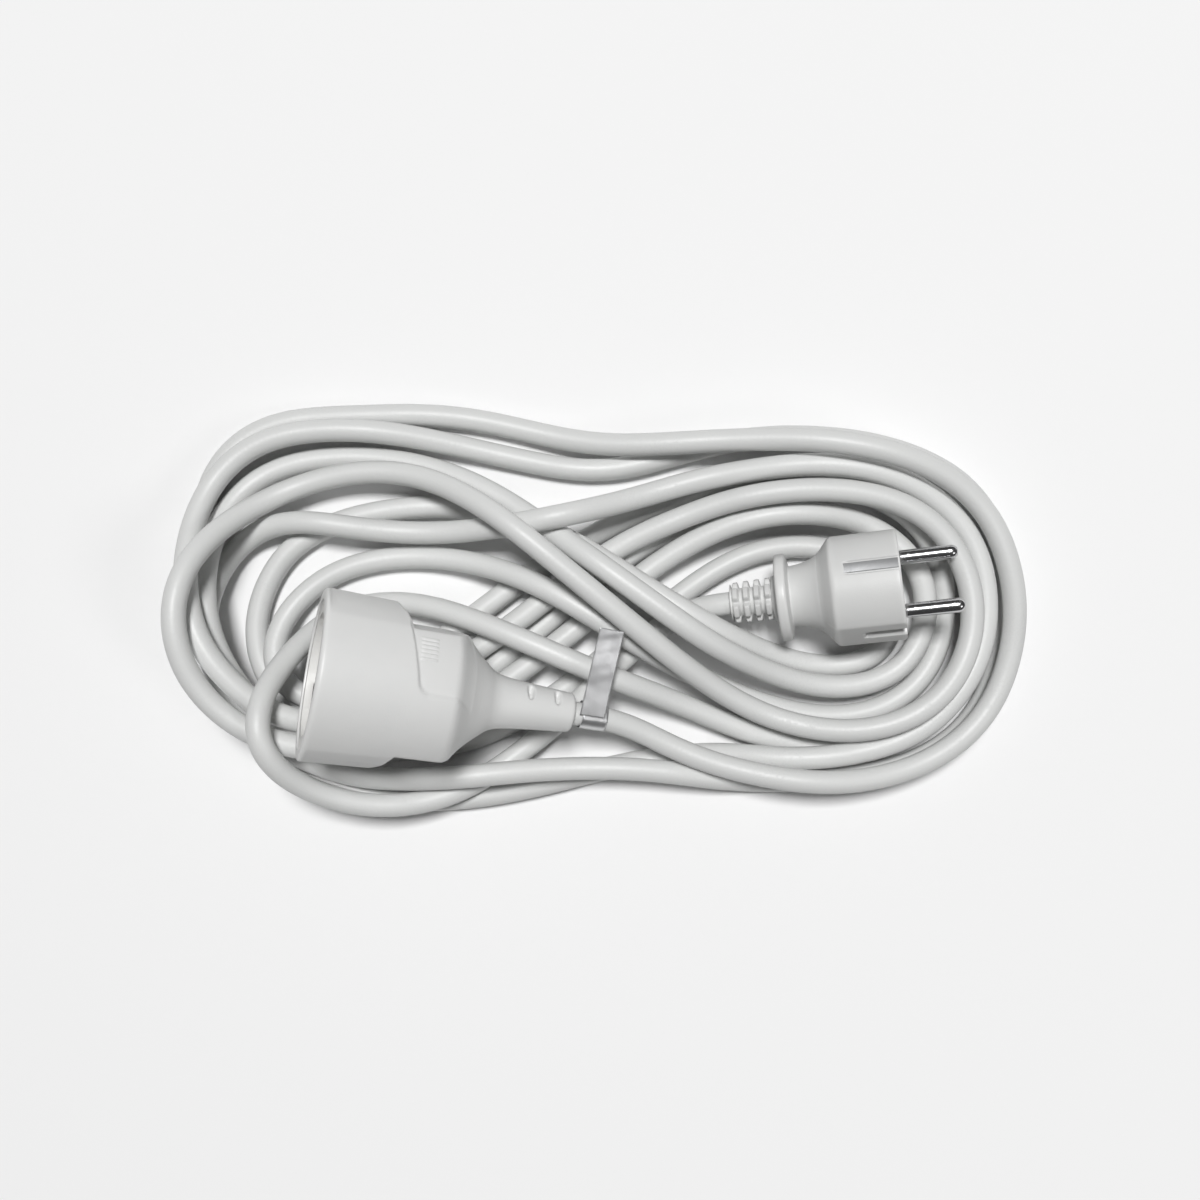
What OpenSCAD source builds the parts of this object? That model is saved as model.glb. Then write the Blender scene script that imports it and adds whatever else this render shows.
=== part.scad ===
// Earthed extension cord, thrown together in flat figure-eight laps.
// A sprung-shutter coupler lies across the laps with its mouth raised,
// and the moulded plug lies on them at the other side.
// The origin is at the middle of the footprint, on the floor, with +Z up.

/* [Cord] */
// Outer diameter of the cord
cord_d = 7.8; // [7:0.1:8]
// Outer diameter of one insulated core
core_d = 2.8; // [2.4:0.1:3]
// Air kept between two runs of the cord where one lies on the other
lay_gap = 1.7; // [1.6:0.1:2.2]

/* [Coupler] */
// Length from the mouth to the end of the neck
coupler_len = 85; // [82:1:90]
// Radius of the barrel
barrel_r = 27.5; // [27:0.1:28.5]
// How much narrower the grip is than the barrel, on each side
grip_cut = 7; // [6:0.1:7.4]
// Radius of the neck at its root
waist_r = 10; // [9:0.1:11]
// Radius of the neck at its free end
neck_r = 6.4; // [6:0.1:7]
// Height of the cord's exit above the floor
coupler_exit_z = 25.7; // [25:0.1:28]
// Direction that the mouth faces, seen from above
coupler_turn = 170; // [166:1:174]
// How far the mouth looks up
coupler_tilt = 16; // [15:1:18]
// Turn of the coupler about its own axis
coupler_roll = 27; // [0:1:45]
// Wall of the hard insert round the socket well
well_wall = 3.9; // [3.7:0.1:4.1]
// Depth of the socket well
well_depth = 17.5; // [16:0.5:18]
// Thickness of the well's floor
floor_t = 3; // [2:0.5:4]
// Radius of a pin hole in the well's floor
hole_r = 3; // [2.8:0.05:3.1]
// Wall of the soft overmould round the hard insert
soft_wall = 4.1; // [3.9:0.1:4.3]
// Depth of the shutter's chamber
chamber_h = 5; // [4.8:0.1:6]
// Thickness of the shutter
shutter_t = 3; // [2:0.1:3]
// Radius of the shutter
shutter_r = 15.2; // [14:0.1:15.3]
// Turn of the shutter from shut to open
shutter_turn = 30; // [25:1:40]
// Radius of the post that the shutter turns on
post_r = 2.05; // [1.8:0.05:2.5]
// Length of the rear block that holds the contacts
block_h = 15.5; // [14:0.5:17]
// Width of the ribbed thumb pads
pad_w = 22; // [16:1:24]
// Number of ribs on each thumb pad
pad_ribs = 6; // [3:1:6]
// Width of the coupler's earth strap
earth_w = 8; // [6:0.5:8]
// Thickness of both earth straps
strap_t = 0.8; // [0.6:0.1:1]

/* [Plug] */
// Length from the front face to the end of the strain relief
plug_len = 56; // [54:1:60]
// Radius of the plug's block
block_r = 18.25; // [18:0.05:18.6]
// Width of the block across its two flats
flat_w = 33.2; // [32:0.1:34]
// Radius of the grip between the block and the finger flange
grip_r = 10.8; // [10.5:0.1:12]
// Radius of the finger flange
flange_r = 15; // [14:0.1:16]
// Radius of the strain relief at its free end
relief_r = 5.5; // [5.3:0.1:6]
// Height of the cord's exit above the floor
plug_exit_z = 16.3; // [16:0.1:18]
// Direction that the pins point, seen from above
plug_turn = 6.6; // [5:0.1:8]
// How far the pins look up
plug_tilt = 12; // [11:0.5:14]
// Turn of the plug about its own axis
plug_roll = 24; // [0:1:45]
// Radius of a pin
pin_r = 2.4; // [2.35:0.05:2.45]
// Length of a pin in front of the plug's face
pin_len = 19; // [18:0.5:20]
// Distance between the two pins
pin_gap = 19; // [18.5:0.1:19.5]
// Distance of the earth hole from the plug's axis
earth_off = 10; // [9:0.1:10.4]
// Radius of the earth hole
earth_r = 2.5; // [2.4:0.05:2.6]
// Width of the plug's earth clips
clip_w = 4.6; // [4:0.1:5]
// Length of the earth clips along the block
clip_len = 17; // [15:0.5:17]
// Width of the guide grooves in the flats
groove_w = 5.6; // [4:0.1:6]
// Length of the guide grooves
groove_len = 13; // [10:0.5:15]

/* [Label] */
// Width of the foil flag
label_w = 8.5; // [7:0.5:9]
// Length of the foil flag
label_len = 30; // [20:1:31]
// Thickness of the foil
label_t = 0.3; // [0.2:0.05:0.4]

/* [Hidden] */
$fn = 72;
clear = 0.1;
cord_r = cord_d / 2;
core_r = core_d / 2;
wire_r = 1.5;
pin_x = pin_gap / 2;

function axis(turn, tilt) = [cos(tilt) * cos(turn), cos(tilt) * sin(turn), sin(tilt)];
function arc(c, r, a0, a1, n) = [for (i = [0:n]) let (a = a0 + (a1 - a0) * i / n) c + r * [cos(a), sin(a)]];
function curve(a, b, c, n) =
    [for (i = [0:n]) let (t = i / n) (1 - t) * (1 - t) * a + 2 * t * (1 - t) * b + t * t * c];

// ---- where the two ends lie ----
middle = [-1.04, -0.84, 0];
coupler_axis = axis(coupler_turn, coupler_tilt);
coupler_exit = middle + [-9.6, -33.7, coupler_exit_z];
coupler_mouth = coupler_exit + coupler_len * coupler_axis;
plug_axis = axis(plug_turn, plug_tilt);
plug_exit = middle + [44.3, 2.3, plug_exit_z];
plug_face = plug_exit + plug_len * plug_axis;

module seat_coupler()
    translate(coupler_mouth) rotate([0, 90 - coupler_tilt, coupler_turn])
        rotate([0, 0, 90 + coupler_roll]) children();
module seat_plug()
    translate(plug_face) rotate([0, 90 - plug_tilt, plug_turn])
        rotate([0, 0, 90 - plug_roll]) children();

// ---- pieces that both ends share ----
module tube(r, bore, z, h)
    translate([0, 0, z]) difference() {
        cylinder(r = r, h = h);
        translate([0, 0, -1]) cylinder(r = bore, h = h + 2);
    }
module rod(r, z, h)
    translate([0, 0, z]) cylinder(r = r, h = h);
module strut(a, b, r) {
    d = b - a;
    translate(a) rotate([0, acos(d[2] / norm(d)), atan2(d[1], d[0])]) cylinder(r = r, h = norm(d), $fn = 32);
}
// one insulated core, from the cord's end to its crimp
module core(start, fan, gather, tip, at, turn) {
    side = 1.19 * core_r * [cos(turn), sin(turn)];
    p = [[side[0], side[1], start], [side[0], side[1], gather], [at[0], at[1], fan], [at[0], at[1], tip]];
    polyhedron(
        [for (c = p, j = [0:11]) c + core_r * [cos(30 * j), sin(30 * j), 0]],
        concat(
            [for (i = [0:2], j = [0:11]) let (a = i * 12 + j, b = i * 12 + (j + 1) % 12)
                each [[a, a + 12, b + 12], [a, b + 12, b]]],
            [for (j = [1:10]) [0, j, j + 1]],
            [for (j = [1:10]) [36, 37 + j, 36 + j]]
        )
    );
}

// ================= coupler =================
insert_r = barrel_r - soft_wall;
well_r = insert_r - well_wall;
grip_half = barrel_r - grip_cut;
face_set = 0.6;
cavity_r = insert_r + clear;
chamber_z = -well_depth - floor_t;
block_z = chamber_z - chamber_h;
strap_z = block_z - block_h - strap_t;
strap_y = block_rear_r() + 0.3;
function block_rear_r() = insert_r - 2.2;
tail_z = strap_z - 3.2;
waist_z = tail_z - 12;
neck_len = coupler_len + waist_z;
pad_top = block_z - 7.5;
pad_end = tail_z - 5;
fan_r = pin_x + core_r + 1.7;
pad_floor = [
    [pad_end, fan_r + 1.4], [strap_z - 4.7, barrel_r - 9.8], [strap_z - 1.4, barrel_r - 2.5], [pad_top, barrel_r - 2.5]
];

module barrel() {
    rotate_extrude() polygon(concat(
        [[0, 0]],
        arc([barrel_r - 1.9, -1], 1, 90, 0, 4),
        [[barrel_r, -1.4], [barrel_r, -well_depth - 0.5], [barrel_r - 0.5, strap_z + 4.8]],
        arc([barrel_r - 2.7, strap_z - 0.2], 2.2, 0, -60, 4),
        curve([barrel_r - 3, strap_z - 2.8], [barrel_r - 13, strap_z - 4.7], [waist_r + 1.2, waist_z], 8),
        [[waist_r, waist_z - 1.6], [waist_r - 0.6, waist_z - 4], [neck_r + 1.3, waist_z - neck_len * 13 / 28]],
        arc([neck_r - 1.1, -coupler_len + 1.1], 1.1, 0, -90, 3),
        [[0, -coupler_len]]
    ));
}
// what lies within the grip's two sides
module grip_slab(half)
    intersection() {
        children();
        rotate([0, 0, -coupler_roll]) cube([2 * half, 100, 200], center = true);
    }
module pad_zone(w, z0, z1)
    for (side = [-1, 1])
        translate([-w / 2, side > 0 ? 5 : -45, z1]) cube([w, 40, z0 - z1]);
module pad_recess()
    intersection() {
        rotate_extrude() polygon(concat([for (p = pad_floor) [p[1], p[0]]], [[45, pad_top], [45, pad_end]]));
        pad_zone(pad_w, pad_top, pad_end);
    }
module pad_rib(x)
    intersection() {
        tube(barrel_r - 1.8, barrel_r - 3.5, strap_z + 0.3, 5.5);
        for (side = [-1, 1])
            translate([x - 0.4, side > 0 ? 5 : -45, strap_z]) cube([0.8, 40, 7]);
    }
module coupler_body() color("#dcdcd6") seat_coupler() {
    difference() {
        barrel();
        pad_recess();
        // the grip is narrower than the barrel, with a shoulder on each side
        rotate([0, 0, -coupler_roll]) for (side = [-1, 1])
            rotate([90, 0, 0]) linear_extrude(80, center = true) scale([side, 1]) polygon([
                [barrel_r + 1, block_z - 1], [barrel_r - 1, block_z - 3], [barrel_r - 3.5, block_z - 4.8],
                [grip_half, block_z - 6], [grip_half, waist_z + 3], [60, waist_z + 3], [60, block_z - 1]
            ]);
        // windows of the strain relief
        for (part = [0.482, 0.814])
            rotate([0, 0, 19]) intersection() {
                tube(20, core_d * 1.2 + 1.4, waist_z - part * neck_len, 2.2);
                translate([-3, -20, waist_z - part * neck_len - 1]) cube([6, 40, 5]);
            }
        rod(cavity_r, block_z, 60);
        grip_slab(grip_half - 1.5) rod(cavity_r, strap_z - 0.2, 60);
        rotate_extrude() polygon([
            [0, strap_z + 0.5], [fan_r, strap_z + 0.5], [fan_r, strap_z - 6.6],
            [core_d * 1.2, waist_z - 2], [core_d * 1.2, -coupler_len - 1], [0, -coupler_len - 1]
        ]);
    }
    for (i = [0:pad_ribs - 1])
        grip_slab(grip_half) pad_rib(1.7 * (i - (pad_ribs - 1) / 2));
}
module coupler_insert() color("#efefec") seat_coupler() {
    difference() {
        rod(insert_r, block_z, -block_z - face_set);
        rod(well_r, -well_depth, 30);
        rod(shutter_r + 0.3, block_z - 1, chamber_h + 1);
        for (x = [-pin_x, pin_x])
            translate([x, 0, 0]) rod(hole_r, chamber_z - 1, floor_t + 2);
        for (side = [-1, 1]) {
            // window for the earth spring, and the groove that its leg lies in
            translate([-earth_w / 2 - 0.5, side * 20 - 5, -well_depth + 0.5]) cube([earth_w + 1, 10, well_depth - 3.5]);
            translate([-earth_w / 2 - 0.1, side * (strap_y + 4.9) - 5, block_z - 1])
                cube([earth_w + 0.2, 10, -block_z - 1.6]);
        }
    }
    // guide ribs in line with the pin holes
    for (side = [-1, 1])
        translate([side * (well_r - 0.9) - 1.3, -2.4, -well_depth - 0.1]) cube([2.6, 4.8, well_depth - 2.9]);
}
module coupler_insert_back() color("#e6e6e2") seat_coupler() {
    difference() {
        grip_slab(grip_half - 1.6) rod(block_rear_r(), block_z - block_h, block_h);
        for (x = [-pin_x, pin_x])
            translate([x, 0, 0]) rod(3.2, block_z - block_h - 1, block_h + 2);
    }
    rod(post_r, block_z - 0.5, chamber_h + 0.3);
}
shutter_z = chamber_z - 0.3;
module shutter_rotor() color("#f4f4f0") seat_coupler() rotate([0, 0, -shutter_turn])
    difference() {
        rod(shutter_r, shutter_z - shutter_t, shutter_t);
        rod(post_r + 0.05, shutter_z - shutter_t - 1, shutter_t + 2);
        for (x = [-pin_x, pin_x])
            translate([x, 0, 0]) rod(hole_r + 0.2, shutter_z - shutter_t - 1, shutter_t + 2);
    }
spring_r = 5.2;
spring_wire = 0.4;
module shutter_spring() color("#b9bcc0") seat_coupler() translate([0, 0, block_z + spring_wire]) {
    rotate_extrude(angle = 300) translate([spring_r, 0]) circle(r = spring_wire, $fn = 24);
    strut([spring_r, 0, 0], [spring_r, -4, 0], spring_wire);
    strut(spring_r * [cos(300), sin(300), 0], (spring_r + 4) * [cos(300), sin(300), 0], spring_wire);
}
module contact(x) seat_coupler() translate([x, 0, 0]) {
    difference() {
        rod(3.1, block_z - block_h + 1, block_h - 2);
        rod(pin_r - 0.05, block_z - block_h + 2, block_h);
        translate([-0.4, 0, block_z - block_h + 6]) cube([0.8, 5, block_h]);
    }
    rod(wire_r, tail_z, block_z - block_h + 1.5 - tail_z);
}
module coupler_line_contact() color("#c9a24a") contact(pin_x);
module coupler_neutral_contact() color("#c9a24a") contact(-pin_x);
module coupler_earth_strap() color("#c4c7ca") seat_coupler() {
    for (side = [-1, 1]) {
        translate([-earth_w / 2, side * (strap_y + strap_t / 2) - strap_t / 2, strap_z])
            cube([earth_w, strap_t, -strap_z - 3]);
        // spring finger that bulges through its window into the well
        scale([1, side, 1]) translate([-earth_w / 2 + 1, 0, 0]) rotate([90, 0, 90]) linear_extrude(earth_w - 2)
            polygon([
                [strap_y + 0.1, -15.6], [strap_y - 2.9, -11.4], [strap_y - 3.4, -9.6], [strap_y - 2.9, -7.8],
                [strap_y + 0.1, -4.2], [strap_y + 0.1, -5.2], [strap_y - 2.3, -8.2], [strap_y - 2.7, -9.6],
                [strap_y - 2.3, -11], [strap_y + 0.1, -14.4]
            ]);
    }
    translate([-earth_w / 2, -strap_y - strap_t, strap_z]) cube([earth_w, 2 * (strap_y + strap_t), strap_t]);
    translate([0, 8, 0]) rod(wire_r, tail_z, 3.5);
}
coupler_posts = [[pin_x, 0], [-pin_x, 0], [0, 8]];
module coupler_crimps() color("#b7babd") seat_coupler()
    for (p = coupler_posts)
        translate([p[0], p[1], 0]) tube(wire_r + 0.6, wire_r, tail_z - 3, 5);
module coupler_core(i, turn) seat_coupler()
    core(-coupler_len, tail_z - 5, waist_z - 1, tail_z, coupler_posts[i], turn);
module coupler_line_core() color("#6b4226") coupler_core(0, -30);
module coupler_neutral_core() color("#2f6fb5") coupler_core(1, 210);
module coupler_earth_core() color("#8cae35") coupler_core(2, 90);

// ================= plug =================
clip_y = block_r - 0.9;
bridge_r = 14.2;
bridge_t = 10;
plug_tail_z = -clip_len - 4.5;
neck_z = plug_tail_z - 10.5;
rib_pitch = (plug_len + neck_z - 10) / 4.83;
module plug_block()
    rotate_extrude() polygon(concat(
        [[0, 0]],
        arc([block_r - 1, -1], 1, 90, 0, 4),
        arc([block_r - 1.6, plug_tail_z - 2.1], 1.6, 0, -50, 4),
        curve([block_r - 1.2, plug_tail_z - 3.9], [grip_r + 0.5, plug_tail_z - 4.9], [grip_r, neck_z + 1], 6),
        [[grip_r, neck_z - 2], [grip_r + 1, neck_z - 2.8]],
        arc([flange_r - 1.2, neck_z - 4.2], 1.2, 60, 0, 3),
        arc([flange_r - 1.2, neck_z - 7.8], 1.2, 0, -90, 3),
        [[relief_r + 1.2, neck_z - 9], [relief_r + 0.9, neck_z - 10]],
        arc([relief_r - 0.6, -plug_len + 0.6], 0.6, 0, -90, 3),
        [[0, -plug_len]]
    ));
module plug_body() color("#dfdfda") seat_plug()
    difference() {
        plug_block();
        for (side = [-1, 1]) {
            // flat, guide groove and earth channel
            translate([side * (flat_w / 2 + 10), 0, -12.5]) cube([20, 60, 26], center = true);
            translate([side * (flat_w / 2 + 7.4), 0, -groove_len / 2 + 1])
                cube([20, groove_w, groove_len + 2], center = true);
            translate([-clip_w / 2 - 0.2, side * (clip_y + 5) - 5, -clip_len - 0.1])
                cube([clip_w + 0.4, 10, clip_len + 1]);
            translate([-clip_w / 2 - 0.1, side * 15 - 5, -clip_len - strap_t - 0.1])
                cube([clip_w + 0.2, clip_y + strap_t - 10, strap_t + 0.2]);
        }
        rod(bridge_r + clear, -bridge_t, 20);
        rotate_extrude() polygon([
            [0, -bridge_t + 1], [bridge_r - 0.8, -bridge_t + 1], [bridge_r - 0.8, plug_tail_z - 4.5],
            [core_d * 1.2, neck_z - 6],
            [core_d * 1.2, -plug_len - 1], [0, -plug_len - 1]
        ]);
        // open ribs of the strain relief
        for (i = [0:3])
            rotate([0, 0, 90 * i]) intersection() {
                tube(20, core_d * 1.2 + 1, -plug_len + 2.2 + rib_pitch * i, 0.52 * rib_pitch);
                translate([-3.4, -20, -plug_len]) cube([6.8, 40, 20]);
            }
    }
module plug_pin_bridge() color("#ecece8") seat_plug()
    difference() {
        rod(bridge_r, -bridge_t, bridge_t);
        for (x = [-pin_x, pin_x])
            translate([x, 0, 0]) {
                rod(pin_r - 0.27, -bridge_t - 1, bridge_t + 2);
                rod(pin_r + 0.73, -8, 3);
            }
        translate([0, earth_off, 0]) rod(earth_r + 0.63, -bridge_t - 1, bridge_t + 2);
    }
module pin(x) seat_plug() translate([x, 0, 0]) {
    // a thinner stem sits in the bridge
    rod(pin_r - 0.3, -8, 9);
    rod(pin_r, 0.5, pin_len - pin_r - 0.5);
    translate([0, 0, pin_len - pin_r]) sphere(r = pin_r, $fn = 48);
    rod(pin_r + 0.7, -8, 3);
    rod(wire_r, plug_tail_z, -plug_tail_z - 7.5);
}
module line_pin() color("#c8cacd") pin(pin_x);
module neutral_pin() color("#c8cacd") pin(-pin_x);
module plug_earth_strap() color("#c4c7ca") seat_plug() {
    for (side = [-1, 1])
        translate([-clip_w / 2, side * (clip_y + strap_t / 2) - strap_t / 2, -clip_len - strap_t])
            cube([clip_w, strap_t, clip_len + strap_t - 0.6]);
    translate([-clip_w / 2, -clip_y - strap_t, -clip_len - strap_t]) cube([clip_w, 2 * (clip_y + strap_t), strap_t]);
    translate([0, earth_off, 0]) rod(wire_r, plug_tail_z, 4);
}
module plug_earth_sleeve() color("#c9a24a") seat_plug() translate([0, earth_off, 0]) {
    tube(earth_r + 0.6, earth_r, -14, 13.6);
    rod(earth_r + 0.6, -15, 1);
    rod(wire_r, -clip_len, clip_len - 14.5);
}
plug_posts = [[pin_x, 0], [-pin_x, 0], [0, earth_off]];
module plug_crimps() color("#b7babd") seat_plug()
    for (p = plug_posts)
        translate([p[0], p[1], 0]) tube(wire_r + 0.5, wire_r, plug_tail_z - 3, 5);
module plug_core(i, turn) seat_plug()
    core(-plug_len, plug_tail_z - 4, neck_z - 6, plug_tail_z, plug_posts[i], turn);
module plug_line_core() color("#6b4226") plug_core(0, -30);
module plug_neutral_core() color("#2f6fb5") plug_core(1, 210);
module plug_earth_core() color("#8cae35") plug_core(2, 90);

// ================= cord =================
// Stations along the cord, one lap after another: across, along, and how high it lies in the pile.
// A fourth number is a least height.
coupler_run = [
    [11, -39, 8, 19], [22, -45, 8, 14], [36, -51, 8]
];
lap_1 = [
    [52, -55, 8], [68, -57.5, 8], [84, -58, 8], [100, -55.5, 8], [114, -50, 8], [126, -41, 8],
    [134.5, -29, 8], [139, -14.5, 8], [140, 1, 8], [137, 16.5, 8], [131, 31, 8], [120, 42.5, 8],
    [105, 50, 8], [88, 54.5, 8], [70, 57, 8], [52, 57.5, 8], [34, 57, 8], [16, 56, 8], [0, 56.5, 8],
    [-16, 59.5, 8], [-32, 63.5, 7], [-48, 66.5, 0.05], [-64, 67.5, 0.05], [-80, 67, 0.05],
    [-96, 66.5, 0.05], [-110, 65, 0.05], [-122, 60, 0.05], [-131, 51.5, 0.05], [-136.5, 40, 0.05],
    [-138.5, 27, 0.05], [-138.5, 13, 0.05], [-137, -2, 0.05], [-133.5, -17, 0.05], [-127, -31, 0.05],
    [-117.5, -43, 0.05], [-106, -53, 0.05], [-92, -60.5, 0.05], [-76, -65, 0.05], [-58, -66, 0.05],
    [-40, -64.5, 0.05], [-22, -61, 0.05], [-5, -56.5, 0.05], [12, -52.5, 0.05], [29, -50, 0.8]
];
lap_2 = [
    [46, -49.5, 2.4], [62, -50.5, 3], [78, -50, 2.6], [94, -47, 2.6], [108, -41.5, 2.6],
    [119, -32, 2.6], [127, -20, 2.6], [131, -6.5, 2.8], [131, 8, 3], [127.5, 21.5, 3.2],
    [119.5, 33, 3.5], [107, 42, 4], [92, 47.5, 5], [76, 49.5, 5], [60, 48.5, 5], [44, 46, 5],
    [28, 42.5, 5], [12, 37.5, 5], [-4, 33, 5], [-20, 29.5, 5], [-36, 27.5, 5], [-54, 26, 5],
    [-72, 26.5, 5], [-88, 28.5, 5], [-103, 30.5, 4], [-117, 28, 2], [-127.5, 19.5, 2], [-133, 7, 2],
    [-134.5, -7, 2], [-131, -21, 2], [-123, -33.5, 2], [-111.5, -44.5, 2], [-97, -52.8, 2],
    [-80, -57.2, 4], [-62, -57, 5], [-43, -55.5, 5], [-26, -54, 5], [-9, -53.5, 5], [8, -53.5, 5],
    [25, -55, 4], [41, -58, 2]
];
lap_3 = [
    [57, -59.5, 2], [73, -58.5, 2], [89, -57.5, 2], [104, -54.5, 2], [118, -48, 2], [129, -38, 2],
    [136, -25, 2], [139.5, -11, 2], [141, 4, 2], [139.5, 19, 2], [134.5, 33, 2], [124.5, 45, 2],
    [110, 53, 2], [93, 58, 2], [75, 60, 2], [57, 60, 2], [40, 57.5, 2], [24, 53, 2], [8, 48.5, 3],
    [-8, 48, 5], [-24, 51, 6], [-40, 54.5, 6], [-56, 58, 6], [-72, 60.5, 6], [-88, 61.5, 6],
    [-103, 60.5, 6], [-116, 57, 6], [-126, 50, 6], [-133, 40.5, 6], [-136.5, 28.5, 6], [-137, 15.5, 6],
    [-135, 2, 6], [-130.5, -11, 6], [-122, -22.5, 6], [-111, -32.5, 6], [-97, -38, 4.5],
    [-81, -37.5, 3.2], [-67, -31, 0.5], [-55, -22, 0.5], [-41.5, -13.5, 0.5], [-28.5, -4, 0.5]
];
lap_4 = [
    [-15.5, 6, 0.5], [-2.5, 16, 0.5], [11.5, 24.5, 0.5], [27, 31, 2], [42, 36.5, 5], [58, 39.5, 6.5],
    [74, 40.5, 6.5], [91, 39, 6.5], [106, 33.5, 6.5], [117, 24, 6.5], [123.5, 11, 6.5],
    [125, -3.5, 6.5], [121.5, -17.5, 6.5], [113.5, -29.5, 6.5], [101, -37.5, 6.5], [86, -41, 6.5],
    [70, -40, 7], [55, -35.5, 8], [41, -28, 9], [27, -18, 9], [14, -7.5, 9], [0, 4, 9], [-14, 15.5, 9],
    [-28, 27, 9], [-43, 37.5, 9], [-59, 45, 9], [-75, 47.5, 9], [-90, 46, 9], [-104, 42, 9],
    [-116, 36, 9], [-126, 27.5, 9], [-133, 16.5, 9], [-136.5, 3.5, 8.5], [-136, -10, 8],
    [-131.5, -23, 7], [-122.5, -34, 7], [-110, -42, 7], [-95, -46, 7], [-79, -46, 6], [-63, -42, 3],
    [-48, -35, 0.6], [-34, -26, 0.6]
];
lap_5 = [
    [-20.5, -16, 0.6], [-7, -5.5, 0.6], [6, 5.5, 0.6], [19, 15.5, 0.6], [31, 23, 1.6], [44, 29, 3],
    [58, 32.5, 4.5], [72, 33, 4.5], [87, 31, 4.5], [100, 24.5, 4.5], [109, 14, 4.5], [112, 1, 4.5],
    [109.5, -11.5, 4.5], [102, -21, 4.5], [90, -26, 4.5], [76, -26.5, 4.5], [62, -23, 4.5],
    [48, -17, 4.5], [34, -9.5, 4.5], [20, 0.5, 4.5], [6, 10.5, 4.5], [-7, 20, 4.5], [-20, 29, 4.3],
    [-34, 38.5, 4], [-50, 46.5, 3], [-68, 51.5, 3], [-86, 53, 3], [-103, 51.5, 3], [-116, 47, 3],
    [-126, 38.5, 3], [-131.5, 27, 3], [-133, 13, 3], [-131.5, -1, 3], [-127.5, -14.5, 3],
    [-120, -27, 3], [-109.5, -37.5, 3], [-96, -45, 3.5], [-80, -47.8, 3], [-63, -48.5, 1.5],
    [-46, -45.5, 0.3], [-30, -39, 0.3]
];
lap_6 = [
    [-15, -29.5, 0.3], [-1, -18.5, 0.3], [12, -7.5, 0.3], [25, 3, 0.3], [37, 12, 0.3], [49, 18.5, 1],
    [62, 22, 3], [76, 22, 3.5], [89, 18, 3.5], [98.5, 8.5, 3.5], [102, -4, 3.5], [97.5, -14.5, 3.5],
    [87, -19.5, 3.5], [73, -19.5, 3.5], [59, -15.5, 3.5], [45, -9.5, 3.5], [31, -2, 3.5],
    [17, 6.5, 3.5], [3, 15.5, 3.5], [-11, 24, 3.2], [-25, 31, 3], [-40, 35, 2.8], [-55, 36, 2.8],
    [-70, 35, 2.8], [-84, 32.5, 2.8], [-97, 28, 2.8], [-108, 20.5, 2.8], [-115, 10, 2.8],
    [-119, -2.5, 2.8], [-118.5, -15.5, 2.8], [-113, -27.5, 2.8], [-103, -36, 2.8], [-89, -40, 2.2],
    [-74, -40.5, 0.8], [-59, -35.5, 0.4], [-45, -26, 0.4]
];
lap_7 = [
    [-32, -15.5, 0.4], [-19, -5, 0.4], [-6.5, 6, 0.4], [7, 17, 0.4], [21, 26.5, 0.6], [36, 33.5, 1.5],
    [52, 38.5, 3], [68, 41.5, 3], [84, 41.5, 3], [99, 37, 3], [111, 27.5, 3], [118, 14, 3],
    [119.5, -1, 3], [116.5, -15.5, 3], [108.5, -27.5, 3], [96, -35, 3], [81, -37.5, 3], [66, -35.5, 3],
    [51, -31, 3], [37, -24.5, 3.5], [23, -17.5, 4], [9, -9, 4], [-6, 0.5, 4], [-22, 9.5, 4],
    [-39, 15.5, 4], [-57, 18.5, 4], [-75, 18, 4], [-90, 14, 4], [-101.5, 6.5, 4], [-109.5, -4, 4],
    [-112, -16, 4], [-107, -26.5, 4], [-96, -31.5, 3.4], [-83, -30.5, 2], [-71, -23, 0.7],
    [-59, -13.5, 0.2], [-46, -4, 0.2]
];
lap_8 = [
    [-33.5, 5.5, 0.2], [-20.5, 15, 0.2], [-7, 23, 0.2], [7, 31, 0.2], [22, 38, 0.5], [38, 43.5, 1.5],
    [55, 47, 2.5], [72, 48, 2.5], [88, 46, 2.5], [103, 41, 2.5], [116, 32, 2.5], [125.5, 20, 2.5],
    [130, 6, 2.5], [129.5, -9, 2.5], [125, -23, 2.5], [116, -35, 2.4], [103, -43.5, 2.4],
    [88, -47.5, 2.4], [72, -47.5, 1.6], [56, -44, 1.6], [40, -37.5, 4], [25, -31, 4], [10, -25, 4],
    [-6, -18.5, 4], [-22, -11.5, 4], [-38, -5, 4], [-54, 0.5, 4], [-70, 3, 4], [-84, 1.5, 4.5],
    [-95.5, -5, 5], [-104, -15.5, 6], [-109.5, -28, 8], [-109.5, -41.5, 8], [-103.5, -53, 8],
    [-93, -61, 8], [-79, -65.5, 7], [-63, -66, 4], [-48, -62, 1], [-34, -54, 0.9], [-21, -44, 0.9]
];
plug_run = [
    [-9, -33, 0.9], [2, -22, 0.9], [13, -11.5, 0.9], [23.5, -3.5, 0.9]
];
stations = concat(
    [for (k = [1, 0, -1]) let (p = coupler_exit - middle + 10 * k * coupler_axis) [p[0], p[1], 8, p[2]]],
    coupler_run, lap_1, lap_2, lap_3, lap_4, lap_5, lap_6, lap_7, lap_8, plug_run,
    [for (k = [-1, 0, 1]) let (p = plug_exit - middle + 10 * k * plug_axis) [p[0], p[1], 0.9, p[2]]]
);
sub = 3;
samples = (len(stations) - 3) * sub;
lay = cord_d + lay_gap;
floor_h = 0.4 * cord_d;
lead_end = 6 * sub;
plug_start = samples - len(plug_run) * sub - 2 * sub;

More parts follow.
